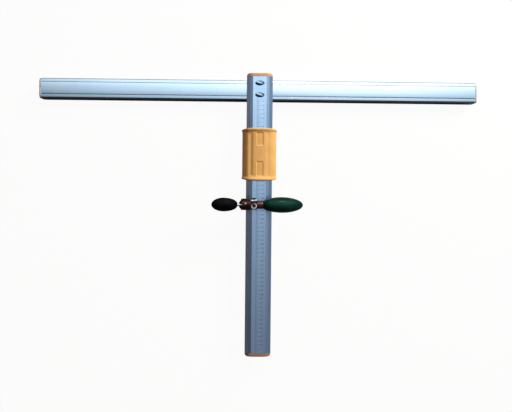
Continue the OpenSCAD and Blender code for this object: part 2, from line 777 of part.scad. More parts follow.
module back_plate() color([0.36, 0.2, 0.15])
    at_carriage() difference() {
        box([-cheek_out, -carriage_half, plate_bottom], [cheek_out, carriage_half, plate_top]);
        rod_z(0, plate_top + past, collar_d + 2 * collar_room, post_x);
        at_plate_screws() {
            rod_z(0, plate_top + past, plate_screw_d + 2 * fit_gap);
            rod_z(0, plate_head_top, plate_head_d + 2 * fit_gap);
        }
        at_pads() box([-pad_width / 2, pad_inset - carriage_half, plate_top - pad_seat],
            [pad_width / 2, carriage_half - pad_inset, plate_top + past]);
    }

module back_plate_screws() color([0.55, 0.56, 0.58])
    at_carriage() at_plate_screws() difference() {
        union() {
            rod_z(plate_head_top - plate_head_height, plate_head_top, plate_head_d);
            rod_z(plate_head_top, plate_top + plate_screw_reach, plate_screw_d);
        }
        translate([0, 0, plate_head_top - plate_head_height])
            slot_cut(2 * plate_head_d, small_slot, small_slot_depth);
    }

module at_pads()
    for (side = [-1, 1]) translate([side * bar_flat / 2, 0, 0]) children();

// The pads stand out of their seats until they nearly touch the bar
module glide_pads() color([0.92, 0.92, 0.88])
    at_carriage() at_pads()
        box([fit_gap - pad_width / 2, pad_inset - carriage_half + fit_gap, plate_top - pad_seat],
            [pad_width / 2 - fit_gap, carriage_half - pad_inset - fit_gap, bar_bottom - face_gap]);

// Bright plate on the side towards the fence: its thin foot is the edge at which the scale is read
module index_plate() color([0.82, 0.84, 0.86])
    at_carriage() difference() {
        union() {
            box([index_from, block_front, index_bottom], [index_to, index_back, block_top + index_rise]);
            box([index_from, block_front, index_bottom],
                [index_to, index_back + index_foot, index_bottom + index_edge]);
        }
        at_index_screws() rod_y(block_front - past, index_back + past, index_screw_d + 2 * fit_gap);
    }

module index_screws() color([0.7, 0.72, 0.74])
    at_carriage() at_index_screws() {
        rod_y(block_front - index_screw_reach, index_back, index_screw_d);
        rod_y(index_back, index_back + index_head_height, index_head_d);
    }

// Socket screw that closes the shoe's bore from above
module cover_screw() color([0.85, 0.86, 0.88])
    at_carriage() difference() {
        union() {
            rod_z(block_top, block_top + cover_head, cover_d, shoe_x, -shoe_offset);
            rod_z(axis_z + spindle_d / 2 + cover_room, block_top, cover_thread_d, shoe_x, -shoe_offset);
        }
        translate([shoe_x, -shoe_offset, block_top])
            cylinder(h = cover_head + past, d = cover_socket / cos(30), $fn = 6);
    }

module spindle_brake_screw() color([0.8, 0.82, 0.84])
    at_carriage() at_brake_screw() difference() {
        rod_z(spindle_d / 2 + face_gap, drum_d / 2, brake_screw_d);
        translate([0, 0, drum_d / 2]) rotate([0, 0, brake_slot_angle])
            slot_cut(2 * brake_screw_d, small_slot, small_slot_depth);
    }

module post_set_screw() color([0.55, 0.56, 0.58])
    at_carriage() difference() {
        rod_x(post_x - post_boss_d / 2, post_x - post_d / 2 - face_gap, set_screw_d, 0, set_screw_z);
        translate([post_x - post_boss_d / 2, 0, set_screw_z]) rotate([0, 90, 0])
            slot_cut(2 * set_screw_d, small_slot, small_slot_depth);
    }

module handle_ferrule() color([0.42, 0.2, 0.15])
    at_carriage() difference() {
        rod_x(block_to, ferrule_end, ferrule_d, 0, axis_z);
        rod_x(block_to - past, ferrule_end + past, ferrule_d - 2 * ferrule_wall, 0, axis_z);
    }

// Shoulder bolt: its thread is in the casting's boss and the handle turns on its shoulder
module handle_bolt() color([0.6, 0.62, 0.65])
    at_carriage() difference() {
        union() {
            rod_x(boss_end - bolt_thread, boss_end, bolt_d, 0, axis_z);
            rod_x(boss_end, bolt_head_from, shoulder_d, 0, axis_z);
            rod_x(bolt_head_from, bolt_head_from + bolt_head, bolt_head_d, 0, axis_z);
        }
        translate([bolt_head_from + bolt_head - bolt_socket_depth, 0, axis_z]) rotate([0, 90, 0])
            cylinder(h = bolt_socket_depth + past, d = bolt_socket / cos(30), $fn = 6);
    }

// Ellipsoid of the handle, cut off square at its two ends
module handle_form(low, high) {
    steps = 40;
    profile = [for (i = [0 : steps])
        let (x = low + (high - low) * i / steps)
        [handle_d / 2 * sqrt(1 - pow((x - handle_mid) / (handle_span / 2), 2)), x]];
    translate([0, 0, axis_z]) rotate([0, 90, 0])
        rotate_extrude() polygon(concat([[0, low]], profile, [[0, high]]));
}

bolt_room_d = bolt_head_d + 2 * face_gap;

module handle_grip() color([0.04, 0.2, 0.14])
    at_carriage() difference() {
        handle_form(handle_from, handle_tip - handle_flat);
        rod_x(handle_from - past, bolt_head_from, shoulder_d + 2 * run_gap, 0, axis_z);
        rod_x(bolt_head_from - face_gap, handle_tip, bolt_room_d, 0, axis_z);
    }

module handle_end_plug() color([0.04, 0.2, 0.14])
    at_carriage() intersection() {
        handle_form(plug_from, handle_tip - handle_flat);
        rod_x(plug_from, handle_tip, bolt_room_d - 2 * fit_gap, 0, axis_z);
    }

// Teardrop: an ellipsoid that draws in to a straight neck towards the drum
knob_mid = knob_from - knob_belly;
knob_profile = concat(
    [for (a = [0 : 5 : 90]) [knob_d / 2 * sin(a), knob_mid - (knob_length - knob_belly) * cos(a)]],
    [for (a = [6 : 6 : 60]) [knob_d / 2 * cos(a), knob_mid + knob_taper * sin(a)]],
    [[spindle_d / 2 + knob_neck_wall, knob_from]]
);

module clamp_knob() color([0.03, 0.03, 0.04])
    at_carriage() difference() {
        translate([0, 0, axis_z]) rotate([0, 90, 0])
            rotate_extrude() polygon(concat(knob_profile, [[0, knob_from]]));
        rod_x(knob_from - knob_depth, knob_from + past, spindle_d + 2 * fit_gap, 0, axis_z);
    }

module clamp_spindle() color([0.75, 0.77, 0.8])
    at_carriage() {
        rod_x(knob_from - knob_depth, cone_start, spindle_d, 0, axis_z);
        translate([cone_start, 0, axis_z]) rotate([0, 90, 0])
            cylinder(h = cone_length * (1 - cone_tip / spindle_d), d1 = spindle_d, d2 = cone_tip);
    }

// Plunger between the spindle's cone and the bar: its top is a wedge that follows the cone
module clamp_shoe() color([0.7, 0.6, 0.35]) {
    slope = atan(spindle_d / 2 / cone_length);
    wide = 4 * shoe_d;
    at_carriage() difference() {
        rod_z(bar_top + shoe_lift, axis_z, shoe_d, shoe_x, -shoe_offset);
        translate([cone_start, 0, axis_z - spindle_d / 2 - face_gap]) {
            rotate([0, -slope, 0]) translate([-wide, -wide, 0]) cube([2 * wide, 2 * wide, wide]);
            translate([-wide, -wide, 0]) cube([wide, 2 * wide, wide]);
        }
    }
}

// The pin lies beside the journal's axis. The journal's flat meets it at each end of the swivel.
pin_y = (journal_d + pin_d) / 2 - pin_bite;
pin_z = collar_top + journal_length / 2;
pin_half = sqrt(pow(post_d / 2, 2) - pow(pin_y + pin_d / 2, 2));
flat_y = journal_d / 2 * sin(asin((pin_y - pin_d / 2) / (journal_d / 2)) - swivel - swivel_room);

module cutter_post() color([0.5, 0.52, 0.55])
    at_carriage() difference() {
        rod_z(post_bottom, post_top, post_d, post_x);
        rod_z(0, collar_top + journal_length + face_gap, journal_d + 2 * run_gap, post_x);
        rod_x(post_x - post_d, post_x + post_d, pin_d, pin_y, pin_z);
    }

module holder_pin() color([0.7, 0.72, 0.74])
    at_carriage() rod_x(post_x - pin_half, post_x + pin_half, pin_d, pin_y, pin_z);

module wheel_holder() color([0.4, 0.42, 0.45])
    at_carriage() difference() {
        union() {
            box([post_x - fork_length / 2, -fork_width / 2, fork_rise],
                [post_x + fork_length / 2, fork_width / 2, fork_top + join / 2]);
            rod_z(fork_top, collar_top, collar_d, post_x);
            rod_z(fork_top, collar_top + journal_length, journal_d, post_x);
        }
        box([post_x - fork_length, -wheel_thick / 2 - face_gap / 2, 0],
            [post_x + fork_length, wheel_thick / 2 + face_gap / 2, wheel_d + face_gap]);
        rod_y(-fork_width, fork_width, axle_d, post_x, wheel_r);
        box([post_x - journal_d, flat_y, pin_z - pin_d / 2 - fit_gap],
            [post_x + journal_d, journal_d, pin_z + pin_d / 2 + fit_gap]);
    }

module wheel_axle() color([0.75, 0.77, 0.8])
    at_carriage() rod_y(-fork_width / 2, fork_width / 2, axle_d, post_x, wheel_r);

module cutting_wheel() color([0.6, 0.6, 0.62])
    at_carriage() translate([post_x, 0, wheel_r]) rotate([90, 0, 0])
        rotate_extrude() polygon([
            [axle_d / 2 + run_gap, -wheel_thick / 2],
            [wheel_r - wheel_edge, -wheel_thick / 2],
            [wheel_r, 0],
            [wheel_r - wheel_edge, wheel_thick / 2],
            [axle_d / 2 + run_gap, wheel_thick / 2]
        ]);

ruler_bar();
scale_strip();
top_end_cap();
bottom_end_cap();
fence_bar();
fence_cap_left();
fence_cap_right();
fence_screws();
spacer_tubes();
nut_plate();
grip_top_shell();
grip_bottom_shell();
grip_screws();
grip_leaf_spring();
carriage_body();
back_plate();
back_plate_screws();
glide_pads();
index_plate();
index_screws();
cover_screw();
spindle_brake_screw();
post_set_screw();
handle_bolt();
handle_ferrule();
handle_grip();
handle_end_plug();
clamp_knob();
clamp_spindle();
clamp_shoe();
cutter_post();
holder_pin();
wheel_holder();
wheel_axle();
cutting_wheel();
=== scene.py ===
import math

import bmesh
import bpy
from mathutils import Matrix, Vector


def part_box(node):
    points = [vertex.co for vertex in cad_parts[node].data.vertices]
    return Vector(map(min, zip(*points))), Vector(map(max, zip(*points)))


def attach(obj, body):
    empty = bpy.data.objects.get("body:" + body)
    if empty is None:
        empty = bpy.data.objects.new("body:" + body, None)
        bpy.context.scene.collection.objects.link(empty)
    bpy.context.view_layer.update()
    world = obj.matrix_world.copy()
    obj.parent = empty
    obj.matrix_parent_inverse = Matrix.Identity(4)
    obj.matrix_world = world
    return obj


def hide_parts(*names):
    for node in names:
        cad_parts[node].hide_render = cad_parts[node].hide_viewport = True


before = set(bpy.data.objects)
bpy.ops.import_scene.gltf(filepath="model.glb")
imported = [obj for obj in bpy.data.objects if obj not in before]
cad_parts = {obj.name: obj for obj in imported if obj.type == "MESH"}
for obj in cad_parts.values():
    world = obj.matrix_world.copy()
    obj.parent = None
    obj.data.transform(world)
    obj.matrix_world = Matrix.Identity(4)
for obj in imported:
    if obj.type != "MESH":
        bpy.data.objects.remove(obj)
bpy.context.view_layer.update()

# Camera. It hangs a little over a metre above the ruler and looks straight down. The lens and the shift
# give the photograph's field, and the small turn gives its tilt.
picture_pixels = 512
focal_pixels = 450
shift_pixels = -25.6
camera_lens = bpy.data.cameras.new("camera")
camera_lens.sensor_width = 36
camera_lens.lens = camera_lens.sensor_width * focal_pixels / picture_pixels
camera_lens.shift_y = shift_pixels / picture_pixels
camera = bpy.data.objects.new("camera", camera_lens)
camera.location = (-0.0239, -0.218, 1.113)
camera.rotation_euler = (0, -0.0155, 0.0091)
bpy.context.scene.collection.objects.link(camera)
bpy.context.scene.camera = camera
bpy.context.scene.view_settings.view_transform = "Standard"

# Studio. A pale table top, a large soft lamp behind the right end, a small one behind the ruler, and a room
# that is brightest above and behind the fence, with a dark band on its left. The camera sees it as white.


def soft_light(name, place, aim, width, height, power, colour, mirrored):
    """Rectangular lamp that looks from its place at a point."""
    lamp = bpy.data.lights.new(name, "AREA")
    lamp.shape = "RECTANGLE"
    lamp.size = width
    lamp.size_y = height
    lamp.energy = power
    lamp.color = colour
    holder = bpy.data.objects.new(name, lamp)
    way = Vector(aim) - Vector(place)
    holder.matrix_world = Matrix.Translation(place) @ way.to_track_quat("-Z", "Y").to_matrix().to_4x4()
    holder.visible_glossy = mirrored
    bpy.context.scene.collection.objects.link(holder)


soft_light("right_light", (1.58, 1.29, 1.08), (0, -0.15, 0), 1.0, 0.8, 78, (1.0, 0.95, 0.88), False)
soft_light("rear_light", (0.16, 0.96, 1.02), (0, -0.27, 0.06), 0.16, 0.3, 3.2, (1.0, 1.0, 1.0), True)

room_brightest_way = (0, 0.69, 0.72)
room_for_matt_surfaces = (0.66, 0.38, 0.28)
room_for_mirrors = (2.8, 2.8, 2.8)
room = bpy.data.worlds.new("room")
room.use_nodes = True
room_nodes = room.node_tree.nodes
room_direction = room_nodes.new("ShaderNodeTexCoord")
room_height = room_nodes.new("ShaderNodeVectorMath")
room_height.operation = "DOT_PRODUCT"
room_height.inputs[1].default_value = room_brightest_way
room_breadth = room_nodes.new("ShaderNodeSeparateXYZ")
room_share = room_nodes.new("ShaderNodeMapRange")
room_share.inputs["From Min"].default_value = -1


def room_ramp(stops):
    """Ramp with these stops."""
    ramp = room_nodes.new("ShaderNodeValToRGB")
    while len(ramp.color_ramp.elements) < len(stops):
        ramp.color_ramp.elements.new(0.5)
    for stop, (share, tone) in zip(ramp.color_ramp.elements, stops):
        stop.position = share
        stop.color = (*tone, 1)
    return ramp


# Tones from the dimmest directions to the brightest one.
room_tone = room_ramp(
    (
        (0.2, (0.085, 0.091, 0.104)),
        (0.336, (0.123, 0.13, 0.15)),
        (0.468, (0.156, 0.162, 0.188)),
        (0.577, (0.2, 0.215, 0.24)),
        (0.642, (0.228, 0.247, 0.273)),
        (0.707, (0.308, 0.363, 0.403)),
        (0.813, (0.49, 0.556, 0.642)),
        (0.85, (0.78, 0.84, 0.89)),
        (1.0, (0.962, 0.985, 1.0)),
    )
)
# Tones from the left wall to the right wall.
room_sides = room_ramp(
    (
        (0.0, (0.63, 0.48, 0.43)),
        (0.1, (0.59, 0.43, 0.39)),
        (0.17, (0.18, 0.165, 0.16)),
        (0.215, (0.1, 0.108, 0.116)),
        (0.25, (0.235, 0.232, 0.226)),
        (0.295, (0.44, 0.44, 0.44)),
        (0.385, (0.56, 0.56, 0.56)),
        (0.5, (0.56, 0.56, 0.56)),
        (0.56, (0.76, 0.7, 0.68)),
        (0.62, (1.0, 0.9, 0.86)),
        (0.675, (1.0, 0.97, 0.93)),
        (0.72, (0.88, 0.85, 0.82)),
        (0.785, (0.6, 0.6, 0.6)),
        (0.92, (1.0, 0.95, 0.9)),
    )
)
room_both = room_nodes.new("ShaderNodeVectorMath")
room_both.operation = "MULTIPLY"
room_seen = room_nodes.new("ShaderNodeLightPath")
room_power = room_nodes.new("ShaderNodeMix")
room_power.data_type = "VECTOR"
room_power.inputs["A"].default_value = room_for_matt_surfaces
room_power.inputs["B"].default_value = room_for_mirrors
room_light = room_nodes.new("ShaderNodeVectorMath")
room_light.operation = "MULTIPLY"
room_white = room_nodes.new("ShaderNodeBackground")
room_white.inputs["Color"].default_value = (1, 1, 1, 1)
room_choice = room_nodes.new("ShaderNodeMixShader")
for source, target in (
    (room_direction.outputs["Generated"], room_height.inputs[0]),
    (room_direction.outputs["Generated"], room_breadth.inputs["Vector"]),
    (room_height.outputs["Value"], room_tone.inputs["Fac"]),
    (room_breadth.outputs["X"], room_share.inputs["Value"]),
    (room_share.outputs["Result"], room_sides.inputs["Fac"]),
    (room_tone.outputs["Color"], room_both.inputs[0]),
    (room_sides.outputs["Color"], room_both.inputs[1]),
    (room_seen.outputs["Is Glossy Ray"], room_power.inputs["Factor"]),
    (room_both.outputs["Vector"], room_light.inputs[0]),
    (room_power.outputs["Result"], room_light.inputs[1]),
    (room_light.outputs["Vector"], room_nodes["Background"].inputs["Color"]),
    (room_seen.outputs["Is Camera Ray"], room_choice.inputs["Fac"]),
    (room_nodes["Background"].outputs["Background"], room_choice.inputs[1]),
    (room_white.outputs["Background"], room_choice.inputs[2]),
    (room_choice.outputs["Shader"], room_nodes["World Output"].inputs["Surface"]),
):
    room.node_tree.links.new(source, target)
bpy.context.scene.world = room

table_half = 30
table_below_part = 0.0003
table_glow = 0.95
table_seen_tone = (0.92, 0.92, 0.92, 1)
table_mirrored_tone = (0.3, 0.31, 0.32, 1)
table_shape = bmesh.new()
bmesh.ops.create_grid(table_shape, x_segments=1, y_segments=1, size=table_half)
bmesh.ops.translate(table_shape, verts=table_shape.verts[:], vec=(0, 0, -table_below_part))
table_mesh = bpy.data.meshes.new("table_top")
table_shape.to_mesh(table_mesh)
table_shape.free()
table_top = bpy.data.objects.new("table_top", table_mesh)
bpy.context.scene.collection.objects.link(table_top)
table_paint = bpy.data.materials.new("table_paint")
table_paint.use_nodes = True
table_nodes = table_paint.node_tree.nodes
table_shader = table_nodes["Principled BSDF"]
table_shader.inputs["Roughness"].default_value = 0.8
table_white = table_nodes.new("ShaderNodeEmission")
table_seen = table_nodes.new("ShaderNodeLightPath")
table_any = table_nodes.new("ShaderNodeMath")
table_any.operation = "MAXIMUM"
table_tone = table_nodes.new("ShaderNodeMix")
table_tone.data_type = "RGBA"
table_tone.inputs["A"].default_value = table_mirrored_tone
table_tone.inputs["B"].default_value = table_seen_tone
table_share = table_nodes.new("ShaderNodeMath")
table_share.operation = "MULTIPLY"
table_share.inputs[1].default_value = table_glow
table_choice = table_nodes.new("ShaderNodeMixShader")
for source, target in (
    (table_seen.outputs["Is Camera Ray"], table_any.inputs[0]),
    (table_seen.outputs["Is Transmission Ray"], table_any.inputs[1]),
    (table_any.outputs["Value"], table_tone.inputs["Factor"]),
    (table_tone.outputs["Result"], table_shader.inputs["Base Color"]),
    (table_any.outputs["Value"], table_share.inputs[0]),
    (table_share.outputs["Value"], table_choice.inputs["Fac"]),
    (table_shader.outputs["BSDF"], table_choice.inputs[1]),
    (table_white.outputs["Emission"], table_choice.inputs[2]),
    (table_choice.outputs["Shader"], table_nodes["Material Output"].inputs["Surface"]),
):
    table_paint.node_tree.links.new(source, target)
table_top.data.materials.append(table_paint)

# Fence bar. A hollow aluminium extrusion, anodised, with a fine line along each side of its slightly crowned
# top and faint lines from the die along its whole length. Its front side has painted shade: a dark, dull
# material.


def new_finish(name, metallic=0.0, specular=0.5):
    """Material whose constants are set on the shader itself."""
    material = bpy.data.materials.new(name)
    material.use_nodes = True
    shader = material.node_tree.nodes["Principled BSDF"]
    shader.inputs["Metallic"].default_value = metallic
    shader.inputs["Specular IOR Level"].default_value = specular
    return material


def grain(material, fineness, detail=3.0):
    """Noise in the material. The fineness is one number, or one each for x, y and z."""
    nodes = material.node_tree.nodes
    place = nodes.new("ShaderNodeTexCoord")
    scale = nodes.new("ShaderNodeMapping")
    scale.inputs["Scale"].default_value = fineness if isinstance(fineness, tuple) else (fineness,) * 3
    noise = nodes.new("ShaderNodeTexNoise")
    noise.inputs["Scale"].default_value = 1.0
    noise.inputs["Detail"].default_value = detail
    material.node_tree.links.new(place.outputs["Object"], scale.inputs["Vector"])
    material.node_tree.links.new(scale.outputs["Vector"], noise.inputs["Vector"])
    return noise.outputs["Fac"]


def tones(material, amount, low, high, start=0.35, end=0.65):
    """Colour that runs from one tone to another with the amount."""
    ramp = material.node_tree.nodes.new("ShaderNodeValToRGB")
    ramp.color_ramp.elements[0].position = start
    ramp.color_ramp.elements[0].color = (*low, 1)
    ramp.color_ramp.elements[1].position = end
    ramp.color_ramp.elements[1].color = (*high, 1)
    material.node_tree.links.new(amount, ramp.inputs["Fac"])
    return ramp.outputs["Color"]


def levels(material, amount, low, high, start=0.3, end=0.7):
    """Number that runs from low to high with the amount."""
    reach = material.node_tree.nodes.new("ShaderNodeMapRange")
    reach.inputs["From Min"].default_value = start
    reach.inputs["From Max"].default_value = end
    reach.inputs["To Min"].default_value = low
    reach.inputs["To Max"].default_value = high
    material.node_tree.links.new(amount, reach.inputs["Value"])
    return reach.outputs["Result"]


def relief(material, amount, height, under=None):
    """Fine relief of that height in metres, on top of another relief."""
    bump = material.node_tree.nodes.new("ShaderNodeBump")
    bump.inputs["Strength"].default_value = 1.0
    bump.inputs["Distance"].default_value = height
    material.node_tree.links.new(amount, bump.inputs["Height"])
    if under is not None:
        material.node_tree.links.new(under, bump.inputs["Normal"])
    return bump.outputs["Normal"]


def wire(material, colour, roughness, normal=None):
    """Joins what was made above to the shader."""
    shader = material.node_tree.nodes["Principled BSDF"]
    for name, source in (("Base Color", colour), ("Roughness", roughness), ("Normal", normal)):
        if source is not None:
            material.node_tree.links.new(source, shader.inputs[name])
    return material


def worked_metal(name, low, high, clouds, marks, rough_low, rough_high, depth=0.000004, detail=3.0):
    """Metal with slow changes of tone and the fine marks of its tool, its die or its mould."""
    material = new_finish(name, metallic=1.0)
    fine = grain(material, marks, detail)
    return wire(
        material,
        tones(material, grain(material, clouds), low, high),
        levels(material, fine, rough_low, rough_high),
        relief(material, fine, depth),
    )


def paint(obj, material):
    """Gives the whole piece one material."""
    if obj.material_slots:
        for place in obj.material_slots:
            place.material = material
    else:
        obj.data.materials.append(material)


def softened(node, width, steps=2, fold=28):
    """Copy of a node's form with its sharp edges rounded by a small width."""
    form = bmesh.new()
    form.from_mesh(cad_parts[node].data)
    bmesh.ops.remove_doubles(form, verts=form.verts[:], dist=0.000004)
    bmesh.ops.dissolve_limit(
        form, angle_limit=math.radians(0.8), verts=form.verts[:], edges=form.edges[:]
    )
    if width:
        folds = [
            edge
            for edge in form.edges
            if len(edge.link_faces) == 2 and edge.calc_face_angle(0) > math.radians(fold)
        ]
        bmesh.ops.bevel(
            form, geom=folds, offset=width, segments=steps, profile=0.5, affect="EDGES", material=-1
        )
    return form


def finished(name, form, material, body, slot, *nodes, smooth=32):
    """Makes the piece from its form. It rides on its body and stands for its nodes."""
    mesh = bpy.data.meshes.new(name)
    form.to_mesh(mesh)
    form.free()
    mesh.shade_smooth()
    mesh.set_sharp_from_angle(angle=math.radians(smooth))
    obj = bpy.data.objects.new(name, mesh)
    even = obj.modifiers.new("even_shading", "WEIGHTED_NORMAL")
    even.keep_sharp = True
    bpy.context.scene.collection.objects.link(obj)
    paint(obj, material)
    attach(obj, body)
    if nodes:
        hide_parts(*nodes)
    return obj


def rounded(name, node, width, material, body, slot, steps=2, fold=28):
    """Makes the piece that stands for one node, with that node's form and rounded edges."""
    return finished(name, softened(node, width, steps, fold), material, body, slot, node)


fence_clouds = (5, 30, 30)
fence_lines = (14, 2600, 2600)
fence_metal = worked_metal(
    "anodised_fence",
    (0.63, 0.81, 0.95),
    (0.69, 0.86, 0.98),
    fence_clouds,
    fence_lines,
    0.24,
    0.34,
    detail=4.0,
)
# Painted shade for the fence's front side, which faces away from the light.
fence_shaded_sides = worked_metal(
    "painted_shade_fence_sides",
    (0.1, 0.125, 0.15),
    (0.15, 0.18, 0.21),
    fence_clouds,
    fence_lines,
    0.4,
    0.55,
    detail=4.0,
)
fence_flat = 0.0147
fence_fold = 0.0207
fence_crown = 0.0007
crown_power = 2.4
crown_cuts = 7
crown_zone = 0.0019
shoulder_lift = 0.0008
shoulder_zone = 0.0087
line_inset = 0.0008
line_half = 0.00035
front_line_depth = 0.00056
rear_line_depth = 0.00004
shaded_side_lean = -0.4
fence_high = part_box("fence_bar")[1]
fence_form = softened("fence_bar", 0.00015, fold=10)
fence_cuts = [step * fence_flat / crown_cuts for step in range(1 - crown_cuts, crown_cuts)]
for line in (-fence_flat + line_inset, fence_flat - line_inset):
    fence_cuts += [line - line_half, line, line + line_half]
for cut in fence_cuts:
    everything = fence_form.verts[:] + fence_form.edges[:] + fence_form.faces[:]
    bmesh.ops.bisect_plane(fence_form, geom=everything, plane_co=(0, cut, 0), plane_no=(0, 1, 0))
for vert in fence_form.verts:
    out = abs(vert.co.y)
    if vert.co.z > fence_high.z - crown_zone and out < fence_flat:
        vert.co.z -= fence_crown * (out / fence_flat) ** crown_power
        if abs(out - fence_flat + line_inset) < line_half / 2:
            vert.co.z -= rear_line_depth if vert.co.y > 0 else front_line_depth
    elif vert.co.z > fence_high.z - shoulder_zone and out > fence_flat:
        share = (out - fence_flat) / (fence_fold - fence_flat)
        back = (fence_high.y - out) / (fence_high.y - fence_fold)
        vert.co.z += shoulder_lift * min(share, back) - fence_crown * (1 - min(1, share))
fence_piece = finished("fence_extrusion", fence_form, fence_metal, "bars", "fence_aluminium", "fence_bar")
fence_piece.data.materials.append(fence_shaded_sides)
# Faces that lean towards the front get the painted shade.
for face in fence_piece.data.polygons:
    if face.normal.y < shaded_side_lean:
        face.material_index = 1

# Fence caps. Thin grey plates of moulded plastic with rounded edges, each held by a hollow plug pressed into
# the fence's end.


def moulded_plastic(name, low, high, rough_low, rough_high):
    """Plastic with the fine skin of its mould and slow changes of tone."""
    material = new_finish(name)
    skin = grain(material, 1400, 2.0)
    waves = grain(material, 160, 1.0)
    return wire(
        material,
        tones(material, grain(material, 45), low, high),
        levels(material, skin, rough_low, rough_high),
        relief(material, skin, 0.00001, relief(material, waves, 0.00004)),
    )


grey_plastic = moulded_plastic("grey_cap_plastic", (0.5, 0.57, 0.63), (0.58, 0.65, 0.71), 0.42, 0.6)
for side in ("left", "right"):
    cap = f"fence_cap_{side}"
    rounded(f"{cap}_moulding", cap, 0.0009, grey_plastic, "bars", "cap_grey", steps=3)

# Ruler bar. A hollow aluminium extrusion with a flat top between two shallow shoulders and steep flanks.
# It is anodised, and its die has left faint lines along it.
ruler_metal = worked_metal(
    "anodised_ruler",
    (0.42, 0.6, 0.8),
    (0.47, 0.66, 0.87),
    (40, 6, 40),
    (2600, 14, 2600),
    0.24,
    0.34,
    detail=4.0,
)
rounded("ruler_extrusion", "ruler_bar", 0.0003, ruler_metal, "bars", "bar_aluminium", fold=10)

# Scale strip. A thin aluminium strip pressed into the groove of the bar's flat top, brushed across and
# sealed.
scale_metal = worked_metal(
    "brushed_scale",
    (0.44, 0.62, 0.82),
    (0.49, 0.68, 0.89),
    (60, 8, 60),
    (30, 2200, 30),
    0.26,
    0.36,
    detail=4.0,
)
paint(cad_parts["scale_strip"], scale_metal)

# Scale marks. Ticks of three lengths and plain centimetre numbers, etched into the strip and filled with
# dark blue ink. The wheel's distance from the fence is read at the foot of the index plate.
mark_height = 0.00003
reading_offset = 0.015
tick_start = -0.0068
tick_kinds = ((10, 0.0052, 0.00045), (5, 0.0004, 0.00035), (1, -0.0036, 0.0002))
first_number = 2
number_x = 0.0087
number_size = 0.0058
strip_low, strip_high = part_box("scale_strip")
zero_y = strip_high.y + reading_offset


def tick(form, left, right, y, width):
    """Thin inked line across the strip."""
    made = bmesh.ops.create_grid(form, x_segments=1, y_segments=1, size=0.5)
    shape = Matrix.Translation(((left + right) / 2, y, strip_high.z + mark_height))
    shape = shape @ Matrix.Diagonal((right - left, width, 1, 1))
    bmesh.ops.transform(form, matrix=shape, verts=made["verts"])


marks = bmesh.new()
millimetres = int((zero_y - strip_low.y) * 1000)
for step in range(int(reading_offset * 1000) + 1, millimetres):
    end, width = next((end, width) for every, end, width in tick_kinds if step % every == 0)
    tick(marks, tick_start, end, zero_y - step / 1000, width)
for centimetre in range(first_number, millimetres // 10):
    letters = bpy.data.curves.new("number", "FONT")
    letters.body = str(centimetre)
    letters.size = number_size
    letters.resolution_u = 2
    letters.align_x = "CENTER"
    letters.align_y = "CENTER"
    holder = bpy.data.objects.new("number", letters)
    flat = bpy.data.meshes.new_from_object(holder)
    flat.transform(Matrix.Translation((number_x, zero_y - centimetre / 100, strip_high.z + mark_height)))
    marks.from_mesh(flat)
    bpy.data.meshes.remove(flat)
    bpy.data.objects.remove(holder)
    bpy.data.curves.remove(letters)
scale_ink = new_finish("scale_ink")
wire(
    scale_ink,
    tones(scale_ink, grain(scale_ink, 900), (0.03, 0.05, 0.09), (0.08, 0.11, 0.16)),
    levels(scale_ink, grain(scale_ink, 300), 0.4, 0.6),
)
finished("scale_marks", marks, scale_ink, "bars", "scale_aluminium")

# Ruler caps. Orange plastic plugs pressed into both ends of the ruler bar, with rounded corners. The one at
# the end away from the fence has a darker brown tone, painted shade where the light falls off.
orange_plastic = moulded_plastic("orange_cap_plastic", (0.6, 0.32, 0.2), (0.68, 0.39, 0.25), 0.42, 0.58)
# Painted shade: a darker brown for the cap at the end away from the fence.
shaded_cap_plastic = moulded_plastic("painted_shade_cap_plastic", (0.34, 0.18, 0.11), (0.42, 0.23, 0.15), 0.42, 0.58)
for end, plastic in (("top", orange_plastic), ("bottom", shaded_cap_plastic)):
    rounded(f"{end}_cap_moulding", f"{end}_end_cap", 0.0008, plastic, "bars", "cap_orange", steps=3)

# Fence screws. Two blued steel screws with domed oval heads, slotted, which draw both bars together. The
# floors of their slots are painted bright steel, a painted highlight.
head_length = 0.022
head_width = 0.0114
head_height = 0.004
head_wall = 0.34 * head_height
head_dome = ((0.0006, 0.0006), (0.0012, 0.0006), (0.002, 0.0006), (0.0026, 0.0005), (0.0028, 0.00025))
shank_radius = 0.004
slot_width = 0.0026
slot_depth = 0.0019
slot_least_depth = 0.0004
slot_turn = math.radians(-20)
slot_across = Vector((-math.sin(slot_turn), math.cos(slot_turn), 0))


def oval_head(middle):
    """Domed oval with a slot across it, standing on the bar's flat top."""
    head = bmesh.new()
    bmesh.ops.create_circle(head, cap_ends=True, radius=head_length / 2, segments=48)
    raised = bmesh.ops.extrude_face_region(head, geom=head.faces[:])["geom"]
    top = [item for item in raised if isinstance(item, bmesh.types.BMVert)]
    bmesh.ops.translate(head, verts=top, vec=(0, 0, head_wall))
    dome = [item for item in raised if isinstance(item, bmesh.types.BMFace)]
    for inward, rise in head_dome:
        bmesh.ops.inset_region(head, faces=dome, thickness=inward, use_even_offset=True)
        verts = list({vert for face in dome for vert in face.verts})
        bmesh.ops.translate(head, verts=verts, vec=(0, 0, rise))
    bmesh.ops.scale(head, vec=(1, head_width / head_length, 1), verts=head.verts[:])
    for edge in (-1, 1):
        everything = head.verts[:] + head.edges[:] + head.faces[:]
        wall = slot_across * edge * slot_width / 2
        bmesh.ops.bisect_plane(head, geom=everything, plane_co=wall, plane_no=slot_across)
    strip = [
        face
        for face in head.faces
        if abs(face.calc_center_median().dot(slot_across)) < slot_width / 2 and face.normal.z > 0.2
    ]
    for item in bmesh.ops.extrude_face_region(head, geom=strip)["geom"]:
        if isinstance(item, bmesh.types.BMVert):
            item.co.z = min(item.co.z - slot_least_depth, head_height - slot_depth)
    bmesh.ops.recalc_face_normals(head, faces=head.faces[:])
    bmesh.ops.translate(head, verts=head.verts[:], vec=middle)
    return head


